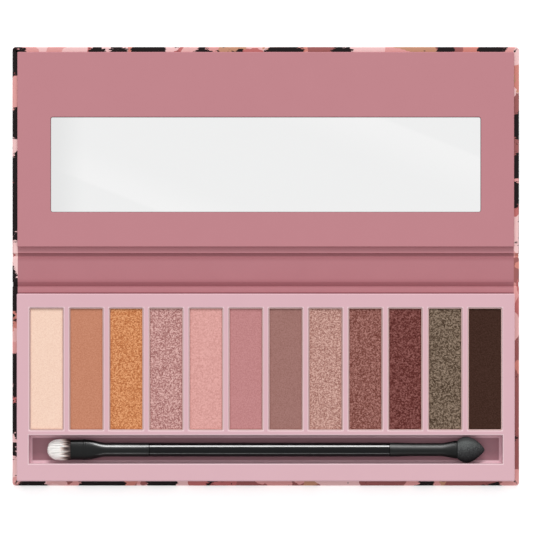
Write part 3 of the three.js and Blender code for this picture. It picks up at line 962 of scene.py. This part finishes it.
def mirror_panel():
    low, high = box("lid_panel")
    glass_low, glass_high = box("mirror")
    left, right = glass_low.x - MIRROR_GAP, glass_high.x + MIRROR_GAP
    front, back = glass_low.y - MIRROR_GAP, glass_high.y + MIRROR_GAP
    bm = block(low, high)
    round_uprights(bm, PANEL_EDGE)
    rule_across(bm, lambda bm: bm.faces, "x", (left, right))
    rule_across(bm, lambda bm: bm.faces, "y", (front, back))
    window = []
    for face in bm.faces:
        x, y, _ = face.calc_center_median()
        if left < x < right and front < y < back:
            window.append(face)
    around = {edge for face in window for edge in face.edges}
    bmesh.ops.delete(bm, geom=window, context="FACES_ONLY")
    bmesh.ops.bridge_loops(bm, edges=[edge for edge in around if edge.is_valid and edge.is_boundary])
    inner = [e for e in bm.edges if upright(e) and (on_line(e, front) or on_line(e, back))]
    inner = [e for e in inner if left - NEAR < e.verts[0].co.x < right + NEAR]
    round_edges(bm, inner, WINDOW_CORNER, 5)
    round_rims(bm, high.z, PANEL_EDGE)
    return finish_piece(bm, "mirror_panel", rose_panel, "rose_panel", "lid", ["lid_panel"])


mirror_panel()

# %% [markdown]
# ## The mirror
# Silvered glass with a narrow ground bevel. The bevel is the ring that an inset leaves, lowered at its
# outer side: it tilts a few degrees, so it mirrors another part of the sky and draws a thin frame. The
# bevel is wider than the corner's radius, so its inner corners are drawn together into sharp ones.
# The glass still isn't one grey: two slanting paler bands and a darker end are reflections painted into
# its colour.

# %% Mirror glass
BEVEL_WIDTH = 0.95
BEVEL_DROP = 0.12
REFLECTION_SLOPE = 0.4
REFLECTION_BANDS = (4.7, 73.0)
REFLECTION_EDGE = 1.0
REFLECTION_FADES = (16.0, 20.0)
DARK_REFLECTION_END = 14.0
SILVER, REFLECTED_LIGHT_SILVER = (0.822, 0.824, 0.824, 1), (0.850, 0.850, 0.850, 1)
REFLECTED_SHADE_SILVER = (0.74, 0.743, 0.743, 1)


def mirror_silver():
    finish = Finish("mirror_glass", Metallic=1.0)
    where = finish.place()
    across, along, _ = finish.axes(where)
    # Painted reflections: two paler slanting bands and a darker left end, standing in for the room's
    # light and shade in the glass.
    slant = along + across * REFLECTION_SLOPE
    start, end = REFLECTION_BANDS
    sharp_start = slant.rise(start - REFLECTION_EDGE, start + REFLECTION_EDGE)
    sharp_end = 1 - slant.rise(end - REFLECTION_EDGE, end + REFLECTION_EDGE)
    painted_reflection = sharp_start * (1 - slant.rise(start + REFLECTION_EDGE, start + REFLECTION_FADES[0]))
    painted_reflection = painted_reflection + slant.rise(end - REFLECTION_FADES[1], end - REFLECTION_EDGE) * sharp_end
    silver = finish.mix(painted_reflection, SILVER, REFLECTED_LIGHT_SILVER)
    left = box("mirror")[0].x
    painted_dark_end = 1 - across.rise(left, left + DARK_REFLECTION_END)
    silver = finish.mix(painted_dark_end * 0.9, silver, REFLECTED_SHADE_SILVER)
    wiped = finish.grain(where, 5.0, 4, 0.6)
    return finish.show(Base_Color=silver, Roughness=0.015 + wiped * 0.02)


def mirror_glass():
    low, high = box("mirror")
    bm = block(low, high)
    round_uprights(bm, WINDOW_CORNER - MIRROR_GAP, 5)
    [top] = top_faces(bm, high.z)
    rim = list(top.verts)
    bmesh.ops.inset_individual(bm, faces=[top], thickness=BEVEL_WIDTH, use_even_offset=True)
    outer = [vert for vert in rim if vert.is_valid and vert not in set(top.verts)]
    bmesh.ops.translate(bm, vec=(0, 0, -BEVEL_DROP), verts=outer)
    middle, half = (low + high) / 2, (high - low) / 2
    for vert in top.verts:
        for axis in (0, 1):
            side = vert.co[axis] - middle[axis]
            vert.co[axis] = middle[axis] + math.copysign(half[axis] - BEVEL_WIDTH, side)
    silver = mirror_silver()
    return finish_piece(bm, "bevelled_mirror", silver, "mirror_glass", "lid", ["mirror"], crease=3)


mirror_glass()

# %% [markdown]
# ## The brush: turned and flattened tubes
# The handle is turned, and the two ferrules start round and are pressed flat at their mouths. All are
# oval sections along one line, so one helper draws a ring on along X, section by section, and another
# eases between the few sections that matter. A spin would do for the handle, but not for a mouth that
# is wider than it is thick.

# %% Sections along a line
ROUND = 40
brush_low, brush_high = box("handle")
brush_y = (brush_low.y + brush_high.y) / 2
brush_z = (brush_low.z + brush_high.z) / 2


def eased(stations, steps):
    """More sections between the given ones, on a curve that never overshoots."""
    made = []
    for a, b in zip(stations, stations[1:]):
        for step in range(steps):
            share = step / steps
            smooth = share * share * (3 - 2 * share)
            place = a[0] + share * (b[0] - a[0])
            made.append((place, *[p + smooth * (q - p) for p, q in zip(a[1:], b[1:])]))
    return made + [stations[-1]]


def drawn_out(stations, closed=True, sides=ROUND):
    """stations are (place along X, half width, half thickness)."""
    bm = bmesh.new()
    ring = bmesh.ops.create_circle(bm, segments=sides, radius=1, cap_ends=closed)["verts"]
    unit = [(vert.co.x, vert.co.y) for vert in ring]
    edges = bm.edges[:]
    for number, (place, wide, thick) in enumerate(stations):
        if number:
            ring, edges = draw_on(bm, ring, edges)
        for vert, (across, up) in zip(ring, unit):
            vert.co = (place, brush_y + across * wide, brush_z + up * thick)
    if closed:
        bmesh.ops.contextual_create(bm, geom=edges)
    return bm


# %% [markdown]
# ## Black lacquer
# The handle is dipped in black lacquer and the ferrules are dyed aluminium, a shade greener and less
# sharp. Neither is plain black: dust and polishing marks change the gloss from place to place, and a
# trace of orange peel breaks the reflection up a little.

# %% Handle and ferrule finishes
def lacquer(name, colour, rough, gloss, wave):
    finish = Finish(name, Specular_IOR_Level=gloss)
    polish = finish.grain(finish.place((0.12, 1.0, 1.0)), 0.5, 3)
    dust = finish.grain(finish.place(), 0.2, 3, 0.7)
    paint = finish.mix(dust.rise(0.6, 0.85) * 0.12, colour, tint(48, 48, 47))
    finish.bump(polish, wave, 0.4)
    return finish.show(Base_Color=paint, Roughness=rough + polish * 0.08)


black_gloss = lacquer("black_gloss", tint(4, 4, 6), 0.15, 0.17, 0.003)
crimp_black = lacquer("ferrule_lacquer", tint(4, 6, 6), 0.27, 0.22, 0.003)
cone_black = lacquer("applicator_lacquer", tint(5, 9, 8), 0.46, 0.16, 0.003)

# %% Handle
TENON_RADIUS = 2.2
FERRULE_WALL = 0.3
SOFT = 0.12
STEP = 0.01
TENON_TAPER = 0.2

sleeve_low, sleeve_high = box("bristle_ferrule")
cone_low, cone_high = box("applicator_ferrule")
handle_radius = (brush_high.z - brush_low.z) / 2
handle_start, handle_end = sleeve_high.x, cone_low.x
tip_radius = TENON_RADIUS - TENON_TAPER
handle_line = [
    (brush_low.x, tip_radius, tip_radius),
    (handle_start, TENON_RADIUS, TENON_RADIUS),
    (handle_start + STEP, handle_radius - SOFT, handle_radius - SOFT),
    (handle_start + SOFT, handle_radius, handle_radius),
    (handle_end - SOFT, handle_radius, handle_radius),
    (handle_end - STEP, handle_radius - SOFT, handle_radius - SOFT),
    (handle_end, tip_radius, tip_radius),
    (brush_high.x, tip_radius, tip_radius),
]
turned = (drawn_out(handle_line), "turned_handle", black_gloss, "black_gloss")
finish_piece(*turned, "brush", ["handle"], crease=30, flats=False)

# %% [markdown]
# ## Ferrules
# The bristle ferrule is crimped flat round the hair, has a pressed bead, and eases back to a round
# tube. The applicator ferrule is waisted, then flares into a flat mouth that grips the foam. Both are
# thin tubes, so each is drawn as an open skin and Solidify gives it its wall.

# %% Ferrule pieces
MOUTH = (3.8, 1.7)
LIP = 0.05
BEAD = (3.95, 1.85)
MOUTH_FLAT = 4.5
BEAD_LENGTH = 1.4
MOUTH_TAPER = 7.6
WAIST = handle_radius - 0.2
WAIST_LENGTH = 10.0
FLARE = (3.35, 1.7)
FLARE_LENGTH = 6.5


def ferrule(name, stations, node, black):
    skin = drawn_out(stations, closed=False)
    made = (skin, name, black, "ferrule_lacquer")
    piece = finish_piece(*made, "brush", [node], crease=30, flats=False)
    wall = piece.modifiers.new("wall", "SOLIDIFY")
    wall.thickness = FERRULE_WALL / METRE
    wall.offset = -1
    return piece


bead_start = sleeve_low.x + MOUTH_FLAT
taper_start = bead_start + BEAD_LENGTH
taper = eased([(taper_start, *MOUTH), (taper_start + MOUTH_TAPER, handle_radius, handle_radius)], 14)
bead = eased([(bead_start, *MOUTH), (bead_start + BEAD_LENGTH / 2, *BEAD), (taper_start, *MOUTH)], 4)
crimp = [(sleeve_low.x, MOUTH[0] - LIP, MOUTH[1] - LIP), (sleeve_low.x + SOFT, *MOUTH)]
tube = [(sleeve_high.x - SOFT, handle_radius, handle_radius)]
tube.append((sleeve_high.x, handle_radius - LIP, handle_radius - LIP))
ferrule("crimped_ferrule", crimp + bead + taper[1:] + tube, "bristle_ferrule", crimp_black)

flare_start = cone_high.x - FLARE_LENGTH
collar = (cone_low.x + SOFT, handle_radius, handle_radius)
throat = [(cone_low.x, handle_radius - LIP, handle_radius - LIP)]
throat += eased([collar, (cone_low.x + WAIST_LENGTH, WAIST, WAIST)], 6)
flare = eased([(flare_start, WAIST, WAIST), (cone_high.x, *FLARE)], 10)
ferrule("flared_ferrule", throat + flare, "applicator_ferrule", cone_black)

# %% [markdown]
# ## Bristles
# The brush head is a filbert: a flat tuft with a domed end. Every hair is its own thin tapered tube
# of a few faces, rooted in the ferrule, spread at the belly and cut off by the dome. The hair is
# cream at the tip and smoke-brown at the root, and each hair has its own share of brown, carried in
# a face attribute, which is what draws the dark streaks.

# %% Hair finish
BROWN_LENGTH = 4.6


def hair():
    finish = Finish("bristle_hair", Specular_IOR_Level=0.2)
    along = finish.axes(finish.place())[0]
    own = finish.node("ShaderNodeAttribute", {"attribute_name": "own_brown"}, output="Fac")
    reach = (along - (sleeve_low.x - BROWN_LENGTH)) * 0.36 + (own - 0.5) * 0.9
    brown = reach.rise(0.4, 1.3)
    pale = (1.0, 0.985, 0.965, 1)
    stops = [(0.0, pale), (0.3, tint(244, 220, 210)), (1.0, tint(66, 46, 42))]
    return finish.show(Base_Color=finish.ramp(brown, stops), Roughness=0.55 + own * 0.15)


# %% Hairs
HAIRS = 760
HAIR_SIDES = 4
HAIR_RINGS = 6
HAIR_RADIUS = 0.105
ROOT_DEPTH = 3.0
BELLY = (4.02, 1.95)
ROOT_SPREAD = (3.35, 1.25)
DOME = 3.4
RAGGED = 0.55
STRAY = 0.14
TAPER = 0.62
TIP_GAP = 0.05
DOME_FILL = 0.97
BELLY_REACH = 0.72
hair_start = box("bristles")[0].x
hair_random = random.Random(11)


def one_hair():
    """One hair; its place in the tuft is a random spot in a flat disc."""
    bm = bmesh.new()
    layer = bm.verts.layers.float.new("own_brown")
    turn = hair_random.uniform(0, 2 * math.pi)
    out = math.sqrt(hair_random.random())
    across, up = out * math.cos(turn), out * math.sin(turn)
    root = sleeve_low.x + ROOT_DEPTH
    ragged = hair_random.uniform(0.0, RAGGED)
    tip = hair_start + TIP_GAP + DOME * (1 - math.sqrt(1 - DOME_FILL * out * out)) + ragged
    stray = [hair_random.uniform(-STRAY, STRAY) for _ in range(2)]
    own = hair_random.random()
    ring = bmesh.ops.create_circle(bm, segments=HAIR_SIDES, radius=1, cap_ends=True)["verts"]
    corners = [Vector((0, vert.co.x, vert.co.y)) for vert in ring]
    edges = bm.edges[:]
    for number in range(HAIR_RINGS):
        share = number / (HAIR_RINGS - 1)
        if number:
            ring, edges = draw_on(bm, ring, edges)
        swell = math.sin(math.pi * min(share * BELLY_REACH, 0.5))
        draw_in = 1 - 0.05 * max(share - 0.8, 0) / 0.2
        wide, thick = [(a + (b - a) * swell) * draw_in for a, b in zip(ROOT_SPREAD, BELLY)]
        loose = share * (1 - out)
        y = brush_y + across * (wide - HAIR_RADIUS) + stray[0] * loose
        z = brush_z + up * (thick - HAIR_RADIUS) + stray[1] * loose
        centre = Vector((root + share * (tip - root), y, z))
        radius = HAIR_RADIUS * (1 - TAPER * share**3)
        for vert, corner in zip(ring, corners):
            vert.co = centre + corner * radius
            vert[layer] = own
    bmesh.ops.contextual_create(bm, geom=edges)
    bmesh.ops.recalc_face_normals(bm, faces=bm.faces)
    return bm


def tuft():
    bm = bmesh.new()
    carrier = bpy.data.meshes.new("one_hair")
    for _ in range(HAIRS):
        single = one_hair()
        single.to_mesh(carrier)
        single.free()
        bm.from_mesh(carrier)
    bpy.data.meshes.remove(carrier)
    made = (bm, "bristle_tuft", hair(), "bristle_hair")
    return finish_piece(*made, "brush", ["bristles"], crease=60, turn=False, flats=False)


tuft()

# %% [markdown]
# ## The sponge tip
# The applicator is closed-cell foam cut to an almond with a pointed end. Foam scatters light softly
# and is full of small open pores. The pores that can be felt are moved into the mesh; the finest ones
# stay in the bump. Light is painted into its colour: it is paler towards the lid's side and the
# ferrule. Its plug, which is slimmer, reaches into the ferrule. It is soft.

# %% Foam
SPONGE_ROUND = 72
SPONGE_STEPS = 9
PORE_DEPTH = 0.07
PORE_SIZE = 0.34
PLUG = [(0.1, 0.4, 0.4), (3.2, 0.9, 0.45)]
sponge_low, sponge_high = box("sponge_tip")
sponge_half = ((sponge_high.y - sponge_low.y) / 2, (sponge_high.z - sponge_low.z) / 2)
ALMOND = [
    (0.0, 0.03), (0.02, 0.13), (0.08, 0.29), (0.2, 0.53), (0.38, 0.82),
    (0.55, 0.965), (0.68, 1.0), (0.8, 0.965), (0.92, 0.83), (1.0, 0.7),
]


def foam():
    finish = Finish("sponge_foam", Specular_IOR_Level=0.15)
    where = finish.place()
    pore = finish.cells(where, 0.3)
    cloud = finish.grain(where, 0.45, 4, 0.65)
    along, across, _ = finish.axes(where)
    # Painted light: the foam is paler towards the lid's side and towards the ferrule.
    wear_and_painted_light = (across - brush_y) * 0.09 - (along - (sponge_low.x + sponge_high.x) / 2) * 0.02
    tone = (cloud * 0.75 + pore * 0.4 + wear_and_painted_light).rise(0.16, 0.98)
    stops = [(0.0, tint(26, 25, 27)), (0.5, tint(54, 55, 56)), (1.0, tint(98, 102, 101))]
    finish.bump(pore + cloud * 0.5, 0.08, 0.7)
    return finish.show(Base_Color=finish.ramp(tone, stops), Roughness=0.94)


def catmull(points, steps):
    """A smooth curve through every point, for a soft outline."""
    ends = [points[0], *points, points[-1]]
    made = []
    for p0, p1, p2, p3 in zip(ends, ends[1:], ends[2:], ends[3:]):
        for step in range(steps):
            t = step / steps
            point = []
            for a, b, c, d in zip(p0, p1, p2, p3):
                square, cube = 2 * a - 5 * b + 4 * c - d, 3 * b - a - 3 * c + d
                point.append(0.5 * (2 * b + (c - a) * t + square * t * t + cube * t**3))
            made.append(point)
    return made + [list(points[-1])]


def sponge():
    bare = sponge_high.x - cone_high.x
    outline = [(sponge_high.x - PORE_DEPTH - place * bare, share) for place, share in ALMOND]
    wide, thick = [half - PORE_DEPTH for half in sponge_half]
    line = [(x, share * wide, share * thick) for x, share in catmull(outline, SPONGE_STEPS)]
    for depth, narrower, thinner in PLUG:
        line.append((cone_high.x - depth, FLARE[0] - narrower, FLARE[1] - thinner))
    bm = drawn_out(line, sides=SPONGE_ROUND)
    bm.normal_update()
    pits = [(vert, noise.noise(vert.co / PORE_SIZE) * PORE_DEPTH) for vert in bm.verts]
    for vert, pit in pits:
        if vert.co.x > cone_high.x:
            vert.co += vert.normal * pit
    made = (bm, "foam_tip", foam(), "sponge_foam")
    piece = finish_piece(*made, "brush", ["sponge_tip"], crease=60, flats=False)
    return piece


sponge()

# %% [markdown]
# ## What stays from the design
# Boards, liners, glue, magnets and the mirror's tape already have their true shape, because they are
# flat or plain and mostly hidden. They keep it and only get their finish.

# %% Hidden finishes
def hot_glue():
    finish = Finish("hot_glue", Roughness=0.35, Specular_IOR_Level=0.45)
    swirl = finish.grain(finish.place(), 1.2, 3)
    finish.bump(swirl, 0.05)
    return finish.show(Base_Color=finish.mix(swirl, tint(226, 214, 184), tint(240, 232, 210)))


def nickel():
    finish = Finish("magnet_nickel", Metallic=1.0)
    scuff_and_painted_shadow = finish.grain(finish.place(), 0.3, 4, 0.7)
    colour = finish.mix(scuff_and_painted_shadow, tint(168, 168, 166), tint(204, 203, 198))
    return finish.show(Base_Color=colour, Roughness=0.2 + scuff_and_painted_shadow * 0.2)


def foam_tape():
    finish = Finish("foam_tape", Roughness=0.95, Specular_IOR_Level=0.1)
    cell = finish.cells(finish.place(), 0.25)
    finish.bump(cell, 0.05)
    return finish.show(Base_Color=finish.mix(cell, tint(220, 220, 214), tint(246, 246, 242)))


# %% Dress the design's own pieces
def dress(material, names):
    for name in names:
        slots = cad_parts[name].data.materials
        slots.clear()
        slots.append(material)
    print(f"{material.name} on {len(names)} pieces")


panels = ("base", "spine", "lid")
dress(board_pulp, [panel + "_board" for panel in panels])
dress(rose_liner, ["lid_liner"])
dress(base_liner, ["base_liner"])
dress(spine_liner, ["spine_liner"])
dress(hot_glue(), ["glue_dot_" + shade for shade in SHADES])
dress(nickel(), [f"{part}_magnet_{hand}" for part in ("tray", "lid") for hand in ("left", "right")])
dress(foam_tape(), ["mirror_tape"])
